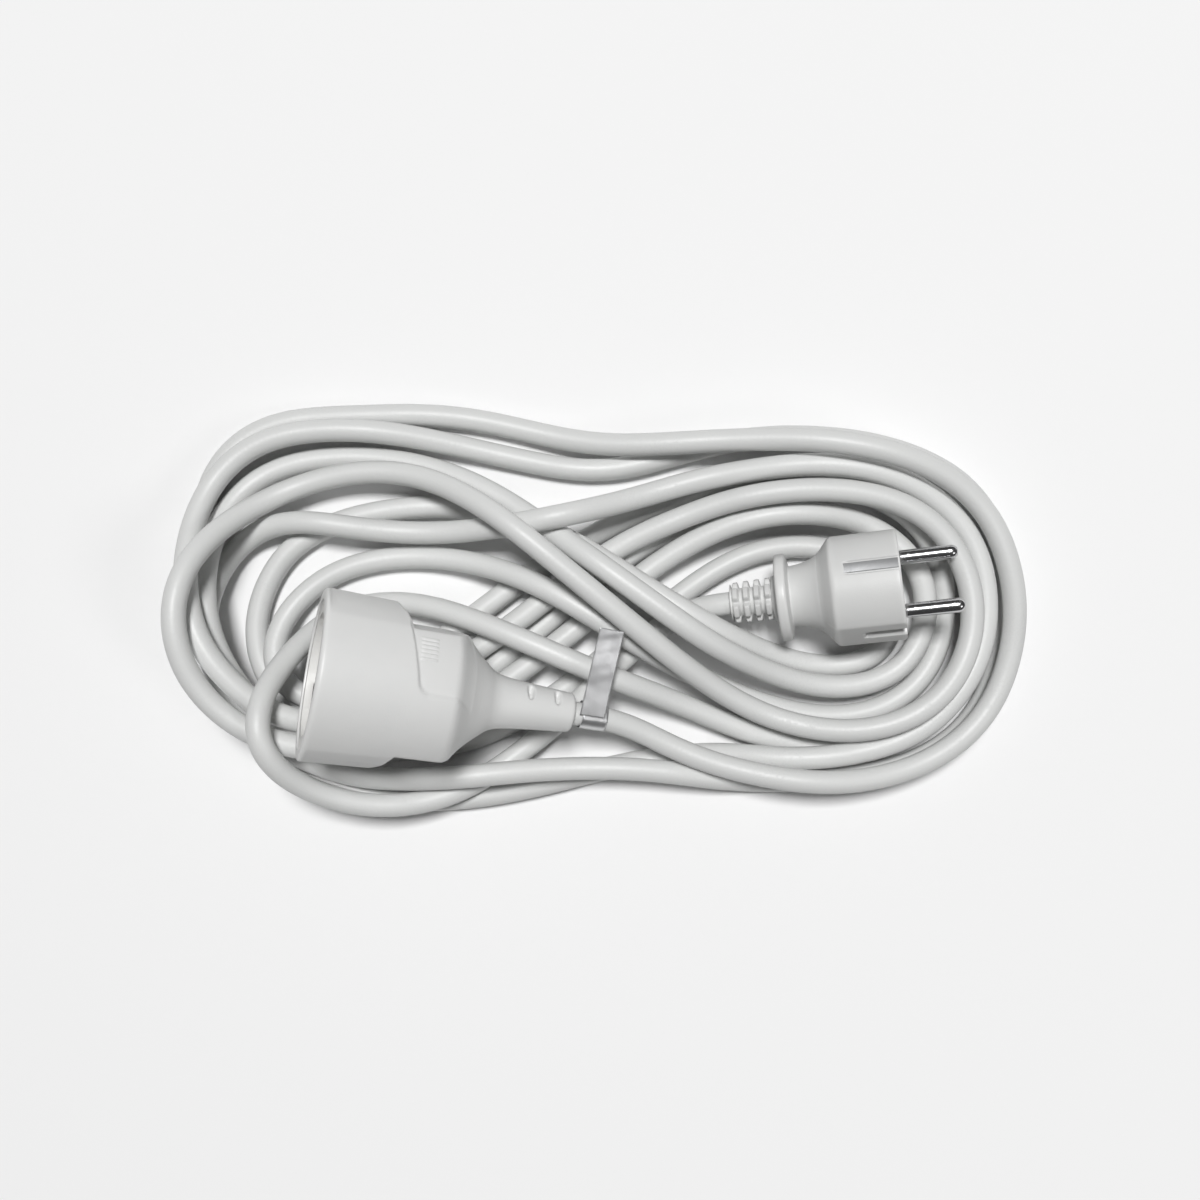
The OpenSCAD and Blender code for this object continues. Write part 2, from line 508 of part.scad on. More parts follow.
// smooth line through the stations, u counts stations
function station(i) = [stations[i][0], stations[i][1], stations[i][2], len(stations[i]) > 3 ? stations[i][3] : 0];
function line_at(u) = let (i = min(floor(u), len(stations) - 4), t = u - i, s = 1 - t)
    [s * s * s, 3 * t * t * t - 6 * t * t + 4, 3 * s * s * s - 6 * s * s + 4, t * t * t] / 6
    * [station(i), station(i + 1), station(i + 2), station(i + 3)];

// runs that pass over or under each sample: which, how far up or down it must be, and whether above it
function crossings(q) = [for (i = [0:samples]) let (x = q[i][0], y = q[i][1], r = q[i][2])
    [for (j = [0:samples]) if (abs(q[j][0] - x) < lay && abs(q[j][1] - y) < lay && abs(i - j) > 11)
        let (d = (q[j][0] - x) * (q[j][0] - x) + (q[j][1] - y) * (q[j][1] - y))
            if (d < lay * lay) [j, sqrt(lay * lay - d), r > q[j][2]]]];
// the runs push each other apart, the cord's stiffness evens them out, and the pile sinks a little
function parted(z, near, base) = [for (i = [0:samples])
    let (up = max([0, for (m = near[i]) if (m[2]) m[1] - z[i] + z[m[0]]]),
         down = max([0, for (m = near[i]) if (!m[2]) m[1] + z[i] - z[m[0]]]))
    max(base[i], z[i] + up / 2 - down / 2)];
function evened(z, base, sink) = [for (i = [0:samples])
    i < 4 || i > samples - 4 ? base[i]
    : max(base[i], (0.2 + 0.8 * 59 / 231) * z[i] + 0.8 / 231 * (54 * (z[i - 1] + z[i + 1]) + 39 * (z[i - 2] + z[i + 2])
        + 14 * (z[i - 3] + z[i + 3]) - 21 * (z[i - 4] + z[i + 4])) - sink)];
function settled(z, near, base, n) = n == 0 ? z
    : settled(evened(parted(z, near, base), base, n > 15 ? 0.12 : 0), near, base, n - 1);
function heights(q) = let (base = [for (p = q) max(p[3], floor_h)])
    settled([for (i = [0:samples]) base[i] + 2 * q[i][2]], crossings(q), base, 120);

function lerp(z, k) = let (i = min(floor(k), samples - 1)) z[i] + (k - i) * (z[i + 1] - z[i]);
function cord_at(z, k) = let (p = line_at(k / sub)) middle + [p[0], p[1], lerp(z, k)];
function heading(z, k) = k <= 0 ? -coupler_axis : k >= samples ? plug_axis
    : let (v = cord_at(z, k + 0.5) - cord_at(z, k - 0.5)) v / norm(v);
function ring(z, k, sides) =
    let (t = heading(z, k), s = cross([0, 0, 1], t) / norm(cross([0, 0, 1], t)), u = cross(t, s), c = cord_at(z, k))
    [for (j = [0:sides - 1]) let (a = 360 * j / sides + (sides == 8 ? 22.5 : 0),
        p = c + cord_r * (cos(a) * s + sin(a) * u)) [p[0], p[1], max(p[2], 0)]];
module run(z, from, to, rings, sides) {
    points = [for (i = [0:rings]) each ring(z, from + (to - from) * i / rings, sides)];
    last = rings * sides;
    polyhedron(points, concat(
        [for (i = [0:rings - 1], j = [0:sides - 1]) let (a = i * sides + j, b = i * sides + (j + 1) % sides)
            each [[a, a + sides, b + sides], [a, b + sides, b]]],
        [for (j = [1:sides - 2]) [0, j, j + 1]],
        [for (j = [1:sides - 2]) [last, last + j + 1, last + j]]
    ));
}
// distance from a point to the stretch between two samples
function off(p, a, b) = let (t = min(1, max(0, (p - a) * (b - a) / ((b - a) * (b - a))))) norm(p - a - t * (b - a));
function least_gap(c, near) = min([for (i = [0:samples], m = near[i]) if (m[0] < samples)
    off(c[i], c[m[0]], c[m[0] + 1])]) - cord_d;

module hank() color("#d4d5d1") {
    q = [for (k = [0:samples]) line_at(k / sub)];
    z = heights(q);
    echo(least_gap = least_gap([for (k = [0:samples]) cord_at(z, k)], crossings(q)));
    run(z, lead_end, plug_start, 20 * 24, 6);
}
module coupler_lead() color("#d4d5d1") run(heights([for (k = [0:samples]) line_at(k / sub)]), 0, lead_end, 12, 8);
module plug_lead() color("#d4d5d1")
    run(heights([for (k = [0:samples]) line_at(k / sub)]), plug_start, samples, 12, 8);

// ================= foil flag =================
module label() color("#cfd3d6") {
    at = coupler_exit - 7.3 * coupler_axis;
    translate(at) rotate([0, 90 - coupler_tilt, coupler_turn])
        tube(cord_r + 0.5 + label_t, cord_r + 0.5, -label_w / 2, label_w);
    translate(at + [0, 0, (cord_r + 0.65) / cos(coupler_tilt)]) rotate([coupler_tilt, -9, coupler_turn - 93])
        translate([0, -label_w / 2, 0]) cube([label_len, label_w, label_t]);
}

hank();
coupler_lead();
plug_lead();
label();
coupler_body();
coupler_insert();
coupler_insert_back();
shutter_rotor();
shutter_spring();
coupler_line_contact();
coupler_neutral_contact();
coupler_earth_strap();
coupler_crimps();
coupler_line_core();
coupler_neutral_core();
coupler_earth_core();
plug_body();
plug_pin_bridge();
line_pin();
neutral_pin();
plug_earth_strap();
plug_earth_sleeve();
plug_crimps();
plug_line_core();
plug_neutral_core();
plug_earth_core();
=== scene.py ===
"""Earthed extension cord, lying in flat figure-eight laps: coupler at the left, plug at the right."""

import math

import bmesh
import bpy
import numpy as np
from mathutils import Matrix, Vector


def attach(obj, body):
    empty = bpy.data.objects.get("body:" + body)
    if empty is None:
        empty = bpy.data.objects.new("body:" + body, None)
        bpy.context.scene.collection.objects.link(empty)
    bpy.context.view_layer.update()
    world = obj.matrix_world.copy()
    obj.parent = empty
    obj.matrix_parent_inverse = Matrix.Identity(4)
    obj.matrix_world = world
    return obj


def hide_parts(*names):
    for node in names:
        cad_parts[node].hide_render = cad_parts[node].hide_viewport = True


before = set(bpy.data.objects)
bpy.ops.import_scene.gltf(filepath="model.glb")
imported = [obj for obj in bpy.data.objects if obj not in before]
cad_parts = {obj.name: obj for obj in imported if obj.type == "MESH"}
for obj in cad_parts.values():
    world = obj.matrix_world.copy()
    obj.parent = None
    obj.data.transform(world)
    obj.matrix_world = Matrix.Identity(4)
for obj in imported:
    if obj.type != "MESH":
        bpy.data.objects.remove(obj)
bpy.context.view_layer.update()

# ---------------------------------------------------------------- camera
# A camera straight above the laps, 45 cm over the floor, that takes in a square frame.


def put(name, data):
    """A new object in the scene that holds this camera, curve, mesh or lamp."""
    thing = bpy.data.objects.new(name, data)
    bpy.context.scene.collection.objects.link(thing)
    return thing


eye = put("camera", bpy.data.cameras.new("camera"))
eye.data.lens = 38.7
eye.data.sensor_width = 36
eye.data.clip_start = 0.01
eye.location = (-0.00104, 0.00256, 0.450)
bpy.context.scene.camera = eye

# ---------------------------------------------------------------- cord
# Round three-core cord, 7.8 mm thick and a good 5 m long, with an extruded PVC sheath.
# It leaves the coupler's neck, runs through eight figure-eight laps and ends in the plug's strain relief.
CORD_D = 0.0078
# where the stations are measured from, and which way each moulding points: degrees round from +X, degrees up
MIDDLE = Vector((-1.04, -0.84, 0)) / 1000
COUPLER_TURN, COUPLER_TILT = 170, 16
PLUG_TURN, PLUG_TILT = 6.6, 12


def pointing(turn, tilt):
    """Unit vector so many degrees round from +X and so many degrees up."""
    turn, tilt = math.radians(turn), math.radians(tilt)
    return Vector((math.cos(tilt) * math.cos(turn), math.cos(tilt) * math.sin(turn), math.sin(tilt)))


coupler_way, plug_way = pointing(COUPLER_TURN, COUPLER_TILT), pointing(PLUG_TURN, PLUG_TILT)
coupler_exit = MIDDLE + Vector((-9.6, -33.7, 25.7)) / 1000
plug_exit = MIDDLE + Vector((44.3, 2.3, 16.3)) / 1000
# Stations in millimetres: across, along, how high it lies in the pile, and a least height where one is given.
coupler_run = [
    (11, -39, 8, 19), (22, -45, 8, 14), (36, -51, 8),
]
laps = []
laps += [
    (52, -55, 8), (68, -57.5, 8), (84, -58, 8), (100, -55.5, 8), (114, -50, 8), (126, -41, 8),
    (134.5, -29, 8), (139, -14.5, 8), (140, 1, 8), (137, 16.5, 8), (131, 31, 8), (120, 42.5, 8),
    (105, 50, 8), (88, 54.5, 8), (70, 57, 8), (52, 57.5, 8), (34, 57, 8), (16, 56, 8), (0, 56.5, 8),
    (-16, 59.5, 8), (-32, 63.5, 7), (-48, 66.5, 0.05), (-64, 67.5, 0.05), (-80, 67, 0.05),
    (-96, 66.5, 0.05), (-110, 65, 0.05), (-122, 60, 0.05), (-131, 51.5, 0.05), (-136.5, 40, 0.05),
    (-138.5, 27, 0.05), (-138.5, 13, 0.05), (-137, -2, 0.05), (-133.5, -17, 0.05), (-127, -31, 0.05),
    (-117.5, -43, 0.05), (-106, -53, 0.05), (-92, -60.5, 0.05), (-76, -65, 0.05), (-58, -66, 0.05),
    (-40, -64.5, 0.05), (-22, -61, 0.05), (-5, -56.5, 0.05), (12, -52.5, 0.05), (29, -50, 0.8),
]
laps += [
    (46, -49.5, 2.4), (62, -50.5, 3), (78, -50, 2.6), (94, -47, 2.6), (108, -41.5, 2.6),
    (119, -32, 2.6), (127, -20, 2.6), (131, -6.5, 2.8), (131, 8, 3), (127.5, 21.5, 3.2),
    (119.5, 33, 3.5), (107, 42, 4), (92, 47.5, 5), (76, 49.5, 5), (60, 48.5, 5), (44, 46, 5),
    (28, 42.5, 5), (12, 37.5, 5), (-4, 33, 5), (-20, 29.5, 5), (-36, 27.5, 5), (-54, 26, 5),
    (-72, 26.5, 5), (-88, 28.5, 5), (-103, 30.5, 4), (-117, 28, 2), (-127.5, 19.5, 2), (-133, 7, 2),
    (-134.5, -7, 2), (-131, -21, 2), (-123, -33.5, 2), (-111.5, -44.5, 2), (-97, -52.8, 2),
    (-80, -57.2, 4), (-62, -57, 5), (-43, -55.5, 5), (-26, -54, 5), (-9, -53.5, 5), (8, -53.5, 5),
    (25, -55, 4), (41, -58, 2),
]
laps += [
    (57, -59.5, 2), (73, -58.5, 2), (89, -57.5, 2), (104, -54.5, 2), (118, -48, 2), (129, -38, 2),
    (136, -25, 2), (139.5, -11, 2), (141, 4, 2), (139.5, 19, 2), (134.5, 33, 2), (124.5, 45, 2),
    (110, 53, 2), (93, 58, 2), (75, 60, 2), (57, 60, 2), (40, 57.5, 2), (24, 53, 2), (8, 48.5, 3),
    (-8, 48, 5), (-24, 51, 6), (-40, 54.5, 6), (-56, 58, 6), (-72, 60.5, 6), (-88, 61.5, 6),
    (-103, 60.5, 6), (-116, 57, 6), (-126, 50, 6), (-133, 40.5, 6), (-136.5, 28.5, 6), (-137, 15.5, 6),
    (-135, 2, 6), (-130.5, -11, 6), (-122, -22.5, 6), (-111, -32.5, 6), (-97, -38, 4.5),
    (-81, -37.5, 3.2), (-67, -31, 0.5), (-55, -22, 0.5), (-41.5, -13.5, 0.5), (-28.5, -4, 0.5),
]
laps += [
    (-15.5, 6, 0.5), (-2.5, 16, 0.5), (11.5, 24.5, 0.5), (27, 31, 2), (42, 36.5, 5), (58, 39.5, 6.5),
    (74, 40.5, 6.5), (91, 39, 6.5), (106, 33.5, 6.5), (117, 24, 6.5), (123.5, 11, 6.5),
    (125, -3.5, 6.5), (121.5, -17.5, 6.5), (113.5, -29.5, 6.5), (101, -37.5, 6.5), (86, -41, 6.5),
    (70, -40, 7), (55, -35.5, 8), (41, -28, 9), (27, -18, 9), (14, -7.5, 9), (0, 4, 9), (-14, 15.5, 9),
    (-28, 27, 9), (-43, 37.5, 9), (-59, 45, 9), (-75, 47.5, 9), (-90, 46, 9), (-104, 42, 9),
    (-116, 36, 9), (-126, 27.5, 9), (-133, 16.5, 9), (-136.5, 3.5, 8.5), (-136, -10, 8),
    (-131.5, -23, 7), (-122.5, -34, 7), (-110, -42, 7), (-95, -46, 7), (-79, -46, 6), (-63, -42, 3),
    (-48, -35, 0.6), (-34, -26, 0.6),
]
laps += [
    (-20.5, -16, 0.6), (-7, -5.5, 0.6), (6, 5.5, 0.6), (19, 15.5, 0.6), (31, 23, 1.6), (44, 29, 3),
    (58, 32.5, 4.5), (72, 33, 4.5), (87, 31, 4.5), (100, 24.5, 4.5), (109, 14, 4.5), (112, 1, 4.5),
    (109.5, -11.5, 4.5), (102, -21, 4.5), (90, -26, 4.5), (76, -26.5, 4.5), (62, -23, 4.5),
    (48, -17, 4.5), (34, -9.5, 4.5), (20, 0.5, 4.5), (6, 10.5, 4.5), (-7, 20, 4.5), (-20, 29, 4.3),
    (-34, 38.5, 4), (-50, 46.5, 3), (-68, 51.5, 3), (-86, 53, 3), (-103, 51.5, 3), (-116, 47, 3),
    (-126, 38.5, 3), (-131.5, 27, 3), (-133, 13, 3), (-131.5, -1, 3), (-127.5, -14.5, 3),
    (-120, -27, 3), (-109.5, -37.5, 3), (-96, -45, 3.5), (-80, -47.8, 3), (-63, -48.5, 1.5),
    (-46, -45.5, 0.3), (-30, -39, 0.3),
]
laps += [
    (-15, -29.5, 0.3), (-1, -18.5, 0.3), (12, -7.5, 0.3), (25, 3, 0.3), (37, 12, 0.3), (49, 18.5, 1),
    (62, 22, 3), (76, 22, 3.5), (89, 18, 3.5), (98.5, 8.5, 3.5), (102, -4, 3.5), (97.5, -14.5, 3.5),
    (87, -19.5, 3.5), (73, -19.5, 3.5), (59, -15.5, 3.5), (45, -9.5, 3.5), (31, -2, 3.5),
    (17, 6.5, 3.5), (3, 15.5, 3.5), (-11, 24, 3.2), (-25, 31, 3), (-40, 35, 2.8), (-55, 36, 2.8),
    (-70, 35, 2.8), (-84, 32.5, 2.8), (-97, 28, 2.8), (-108, 20.5, 2.8), (-115, 10, 2.8),
    (-119, -2.5, 2.8), (-118.5, -15.5, 2.8), (-113, -27.5, 2.8), (-103, -36, 2.8), (-89, -40, 2.2),
    (-74, -40.5, 0.8), (-59, -35.5, 0.4), (-45, -26, 0.4),
]
laps += [
    (-32, -15.5, 0.4), (-19, -5, 0.4), (-6.5, 6, 0.4), (7, 17, 0.4), (21, 26.5, 0.6), (36, 33.5, 1.5),
    (52, 38.5, 3), (68, 41.5, 3), (84, 41.5, 3), (99, 37, 3), (111, 27.5, 3), (118, 14, 3),
    (119.5, -1, 3), (116.5, -15.5, 3), (108.5, -27.5, 3), (96, -35, 3), (81, -37.5, 3), (66, -35.5, 3),
    (51, -31, 3), (37, -24.5, 3.5), (23, -17.5, 4), (9, -9, 4), (-6, 0.5, 4), (-22, 9.5, 4),
    (-39, 15.5, 4), (-57, 18.5, 4), (-75, 18, 4), (-90, 14, 4), (-101.5, 6.5, 4), (-109.5, -4, 4),
    (-112, -16, 4), (-107, -26.5, 4), (-96, -31.5, 3.4), (-83, -30.5, 2), (-71, -23, 0.7),
    (-59, -13.5, 0.2), (-46, -4, 0.2),
]
laps += [
    (-33.5, 5.5, 0.2), (-20.5, 15, 0.2), (-7, 23, 0.2), (7, 31, 0.2), (22, 38, 0.5), (38, 43.5, 1.5),
    (55, 47, 2.5), (72, 48, 2.5), (88, 46, 2.5), (103, 41, 2.5), (116, 32, 2.5), (125.5, 20, 2.5),
    (130, 6, 2.5), (129.5, -9, 2.5), (125, -23, 2.5), (116, -35, 2.4), (103, -43.5, 2.4),
    (88, -47.5, 2.4), (72, -47.5, 1.6), (56, -44, 1.6), (40, -37.5, 4), (25, -31, 4), (10, -25, 4),
    (-6, -18.5, 4), (-22, -11.5, 4), (-38, -5, 4), (-54, 0.5, 4), (-70, 3, 4), (-84, 1.5, 4.5),
    (-95.5, -5, 5), (-104, -15.5, 6), (-109.5, -28, 8), (-109.5, -41.5, 8), (-103.5, -53, 8),
    (-93, -61, 8), (-79, -65.5, 7), (-63, -66, 4), (-48, -62, 1), (-34, -54, 0.9), (-21, -44, 0.9),
]
plug_run = [
    (-9, -33, 0.9), (2, -22, 0.9), (13, -11.5, 0.9), (23.5, -3.5, 0.9),
]


def by_exit(point, way, steps, rank):
    """Stations on the straight line out of a moulding, so many centimetres along it."""
    stations = []
    for k in steps:
        x, y = (((point - MIDDLE) + way * 0.01 * k) * 1000)[:2]
        stations.append((x, y, rank, (point.z + way.z * 0.01 * k) * 1000))
    return stations


route = by_exit(coupler_exit, coupler_way, (1, 0, -1), 8) + coupler_run + laps + plug_run
route += by_exit(plug_exit, plug_way, (-1, 0, 1), 0.9)
route = np.array([(*p, 0)[:4] for p in route], float)


def smooth_line(points, per_span):
    """The smooth line that a stiff cord takes past its stations, a cubic B-spline."""
    u = np.arange((len(points) - 3) * per_span + 1) / per_span
    i = np.minimum(u.astype(int), len(points) - 4)
    t = (u - i)[:, None]
    s = 1 - t
    weights = (s**3, 3 * t**3 - 6 * t**2 + 4, 3 * s**3 - 6 * s**2 + 4, t**3)
    return sum(w * points[i + k] for k, w in enumerate(weights)) / 6


# Points this close along the cord belong to the same run.
SAME_RUN = 11
# What a cord's own stiffness makes of a point and the four on each side of it (a fitted parabola's weights).
STIFFNESS = np.array((-21, 14, 39, 54, 59, 54, 39, 14, -21)) / 231
# How far the cord sags in a round, in millimetres, and how many last rounds go without it.
SAG, LAST_ROUNDS = 0.12, 15


def lie_of_the_cord(line, thick, gap=1.7, rounds=120):
    """Heights at which the runs lie on each other, from who lies over whom where they cross."""
    lay, n, order = thick + gap, len(line), line[:, 2]
    far = np.hypot(line[:, None, 0] - line[None, :, 0], line[:, None, 1] - line[None, :, 1])
    i, j = np.nonzero((far < lay) & (abs(np.arange(n)[:, None] - np.arange(n)) > SAME_RUN))
    need = np.sqrt(lay**2 - far[i, j] ** 2)
    above = order[i] > order[j]
    base = np.maximum(line[:, 3], thick / 2)
    z = base + 2 * order
    for k in range(rounds):
        up, down = np.zeros(n), np.zeros(n)
        np.maximum.at(up, i[above], (need - z[i] + z[j])[above])
        np.maximum.at(down, i[~above], (need + z[i] - z[j])[~above])
        z = np.maximum(base, z + up / 2 - down / 2)
        even = z.copy()
        even[4:-4] = np.convolve(z, STIFFNESS, "valid")
        z = np.maximum(base, 0.2 * z + 0.8 * even - (SAG if k < rounds - LAST_ROUNDS else 0))
        z[:4], z[-4:] = base[:4], base[-4:]
    return z


# Points between stations: few while the heights are worked out, and more in the line itself.
FEW, MANY = 3, 9
coarse = smooth_line(route, FEW)
height = lie_of_the_cord(coarse, CORD_D * 1000)
ends = (2 * height[:1] - height[1:2], height, 2 * height[-1:] - height[-2:-1])
height = smooth_line(np.concatenate(ends)[:, None], MANY // FEW)[:, 0]
centre = smooth_line(route, MANY)
centre = np.column_stack((centre[:, :2], height)) / 1000 + np.array(MIDDLE)


class Tone:
    """A number or colour that changes over a surface, and is worked with like any other number."""

    def __init__(self, finish, socket):
        self.finish, self.socket = finish, socket

    def _math(self, operation, *values):
        return self.finish.add("ShaderNodeMath", {"operation": operation}, dict(enumerate(values)))

    def __add__(self, other):
        return self._math("ADD", self, other)

    def __sub__(self, other):
        return self._math("SUBTRACT", self, other)

    def __mul__(self, other):
        return self._math("MULTIPLY", self, other)

    def above(self, edge, soft):
        """0 under the edge and 1 over it, over a soft width."""
        node = {"interpolation_type": "SMOOTHSTEP"}
        return self.finish.add("ShaderNodeMapRange", node, {0: self, 1: edge - soft / 2, 2: edge + soft / 2})

    __radd__ = __add__


class Finish:
    """A surface finish, put together from shader nodes."""

    def __init__(self, name, **sockets):
        self.material = bpy.data.materials.new(name)
        self.material.use_nodes = True
        self.tree = self.material.node_tree
        self.surface = self.tree.nodes["Principled BSDF"]
        self.wire(self.surface, sockets)

    def wire(self, node, sockets):
        """Links tones to a node's inputs, and sets plain values on them."""
        for name, value in sockets.items():
            if isinstance(value, Tone):
                self.tree.links.new(value.socket, node.inputs[name])
            else:
                node.inputs[name].default_value = value

    def add(self, kind, settings=None, sockets=None, out=0):
        """A new shader node with its settings and inputs; gives back one of its outputs."""
        node = self.tree.nodes.new(kind)
        for name, value in (settings or {}).items():
            setattr(node, name, value)
        self.wire(node, sockets or {})
        return Tone(self, node.outputs[out])

    def place(self):
        """Where a point of the surface lies on its own piece."""
        return self.add("ShaderNodeTexCoord", out="Object")

    def cloud(self, size, detail=3, at=None):
        """Soft random blotches, about this many metres across."""
        sockets = {"Vector": at or self.place(), "Scale": 1 / size, "Detail": detail}
        return self.add("ShaderNodeTexNoise", {}, sockets)

    def between(self, mask, first, second):
        """A colour that goes from the first to the second as the mask goes from 0 to 1."""
        first = first if isinstance(first, Tone) else (*first, 1)
        return self.add("ShaderNodeMix", {"data_type": "RGBA"}, {0: mask, 6: first, 7: (*second, 1)}, out=2)

    def relief(self, height, depth):
        """Fine bumps and hollows, this many metres deep."""
        return self.add("ShaderNodeBump", {}, {"Height": height, "Distance": depth, "Strength": 1.0})

    def show(self, **sockets):
        """The finished material, with these values and tones on its surface."""
        self.wire(self.surface, {name.replace("_", " "): value for name, value in sockets.items()})
        return self.material


def sheath_finish():
    """Light grey PVC sheath: half matt, faintly mottled, with faint rings from the extruder."""
    f = Finish("cord sheath")
    along = f.add("ShaderNodeAttribute", {"attribute_name": "along"}, out="Fac")
    mottle, grain, wear = f.cloud(0.018, 4), f.cloud(0.0007, 2), f.cloud(0.045, 5)
    ring_pitch = 0.0021
    phase = along * (2 * math.pi / ring_pitch) + mottle * 6
    rings = f.add("ShaderNodeMath", {"operation": "SINE"}, {0: phase})
    scuffs = wear.above(0.63, 0.06) * grain.above(0.56, 0.1)
    colour = f.between(mottle * 0.7 + scuffs * 0.3, (0.66, 0.665, 0.655), (0.60, 0.605, 0.60))
    return f.show(
        Base_Color=colour,
        Roughness=0.36 + mottle * 0.16 + scuffs * 0.15,
        Normal=f.relief(grain * 0.5 + rings * 0.04 + wear * 0.8, 0.00012),
    )


def swept_tube_tree():
    """Geometry nodes that give a line its round section, and keep how far along it each point is."""
    tree = bpy.data.node_groups.new("cord section", "GeometryNodeTree")
    face = tree.interface
    face.new_socket("Geometry", in_out="INPUT", socket_type="NodeSocketGeometry")
    radius = face.new_socket("Radius", in_out="INPUT", socket_type="NodeSocketFloat")
    sides = face.new_socket("Sides", in_out="INPUT", socket_type="NodeSocketInt")
    sheath = face.new_socket("Sheath", in_out="INPUT", socket_type="NodeSocketMaterial")
    face.new_socket("Geometry", in_out="OUTPUT", socket_type="NodeSocketGeometry")
    new, link = tree.nodes.new, tree.links.new
    start, end = new("NodeGroupInput"), new("NodeGroupOutput")
    keep, how_far = new("GeometryNodeStoreNamedAttribute"), new("GeometryNodeSplineParameter")
    section, sweep = new("GeometryNodeCurvePrimitiveCircle"), new("GeometryNodeCurveToMesh")
    smooth, real = new("GeometryNodeSetShadeSmooth"), new("GeometryNodeRealizeInstances")
    paint = new("GeometryNodeSetMaterial")
    keep.inputs["Name"].default_value = "along"
    sweep.inputs["Fill Caps"].default_value = True
    link(start.outputs[0], keep.inputs["Geometry"])
    link(how_far.outputs["Length"], keep.inputs["Value"])
    link(keep.outputs[0], sweep.inputs["Curve"])
    link(start.outputs["Radius"], section.inputs["Radius"])
    link(start.outputs["Sides"], section.inputs["Resolution"])
    link(section.outputs["Curve"], sweep.inputs["Profile Curve"])
    link(sweep.outputs[0], smooth.inputs[0])
    link(smooth.outputs[0], real.inputs[0])
    link(real.outputs[0], paint.inputs[0])
    link(start.outputs["Sheath"], paint.inputs["Material"])
    link(paint.outputs[0], end.inputs[0])
    return tree, radius.identifier, sides.identifier, sheath.identifier


def settle_into_mesh(piece):
    """The finished shape as a plain mesh, with no modifier left on the piece."""
    bpy.context.view_layer.update()
    graph = bpy.context.evaluated_depsgraph_get()
    seen = piece.evaluated_get(graph)
    mesh = bpy.data.meshes.new_from_object(seen, preserve_all_data_layers=True, depsgraph=graph)
    name = piece.name
    bpy.data.objects.remove(piece)
    return put(name, mesh)


line = bpy.data.curves.new("cord_line", "CURVE")
line.dimensions = "3D"
spline = line.splines.new("POLY")
spline.points.add(len(centre) - 1)
spline.points.foreach_set("co", np.column_stack((centre, np.ones(len(centre)))).ravel())
cord = put("cord", line)
section_tree, radius_in, sides_in, sheath_in = swept_tube_tree()
sweep = cord.modifiers.new("section", "NODES")
sweep.node_group = section_tree
sweep[radius_in], sweep[sides_in], sweep[sheath_in] = CORD_D / 2, 20, sheath_finish()
cord = settle_into_mesh(cord)
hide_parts("hank", "coupler_lead", "plug_lead")
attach(cord, "cord_set")

# ---------------------------------------------------------------- coupler housing
# The soft grey-white overmould of the socket end, injected in one shot round the hard insert and the cord.
# A round barrel stands proud of a narrower grip with a thumb pad above and below; a tapered neck follows.
# Sizes are in millimetres; s is the distance back from the mouth, turn is round the axis from the pins' line.
MM = Matrix.Scale(0.001, 4)
BARREL_R, GRIP_CUT, COUPLER_LONG, COUPLER_ROLL = 27.5, 7.7, 85.0, 117
FLATS_ROLL, FACET_HALF = np.radians(27), np.radians(20)
PAD_MID, PAD_HALF_LONG, PAD_HALF_WIDE, PAD_LEAN = 37.2, 10.8, 13.0, 0.2
RIBS, RIB_PITCH, RIB_HIGH, RIBS_OFF = 6, 1.5, 0.32, 4.0
WINDOWS_AT, WINDOWS_TURN, WINDOW_FLOOR = (69.4, 78.7), np.radians(109), 5.2


def seat(point, turn, tilt, roll):
    """Where a moulding sits: its own Z looks out of its mouth or along its pins."""
    spin = Matrix.Rotation(math.radians(turn), 4, "Z") @ Matrix.Rotation(math.radians(90 - tilt), 4, "Y")
    return Matrix.Translation(point) @ spin @ Matrix.Rotation(math.radians(roll), 4, "Z") @ MM


coupler_mouth = coupler_exit + coupler_way * COUPLER_LONG / 1000
coupler_seat = seat(coupler_mouth, COUPLER_TURN, COUPLER_TILT, COUPLER_ROLL)


def outline(corners, step):
    """Turned outline through corners of radius, distance back and rounding, as closely spaced points."""
    points = [np.array(corners[0][:2], float)]
    for before, (r, s, ease), after in zip(corners, corners[1:], corners[2:]):
        here = np.array((r, s), float)
        into, out = np.array(before[:2]) - here, np.array(after[:2]) - here
        a, b = (here + v / np.linalg.norm(v) * min(ease, np.linalg.norm(v) / 2) for v in (into, out))
        turn = np.linspace(0, 1, 7 if ease else 2)[:, None]
        points += list((1 - turn) ** 2 * a + 2 * turn * (1 - turn) * here + turn**2 * b)
    points.append(np.array(corners[-1][:2], float))
    dense = [points[0]]
    for a, b in zip(points, points[1:]):
        n = int(np.ceil(np.linalg.norm(b - a) / step((a[1] + b[1]) / 2)))
        dense += [a + (b - a) * k / n for k in range(1, n + 1)] if n else []
    return np.array(dense)


def eased(x, low, high):
    """0 below low, 1 above high and a soft step between them."""
    t = np.clip((x - low) / (high - low), 0, 1)
    return t * t * (3 - 2 * t)


def lesser(a, b, ease):
    """The smaller of two radii, with the edge between them rounded off."""
    t = np.clip(0.5 + (b - a) / (2 * ease), 0, 1)
    return b + (a - b) * t - ease * t * (1 - t)


def plate(across, along, half_across, half_along, corner):
    """Distance outside a rectangle with rounded corners, less than 0 inside it."""
    x, y = abs(across) - half_across + corner, abs(along) - half_along + corner
    return np.hypot(np.maximum(x, 0), np.maximum(y, 0)) + np.minimum(np.maximum(x, y), 0) - corner


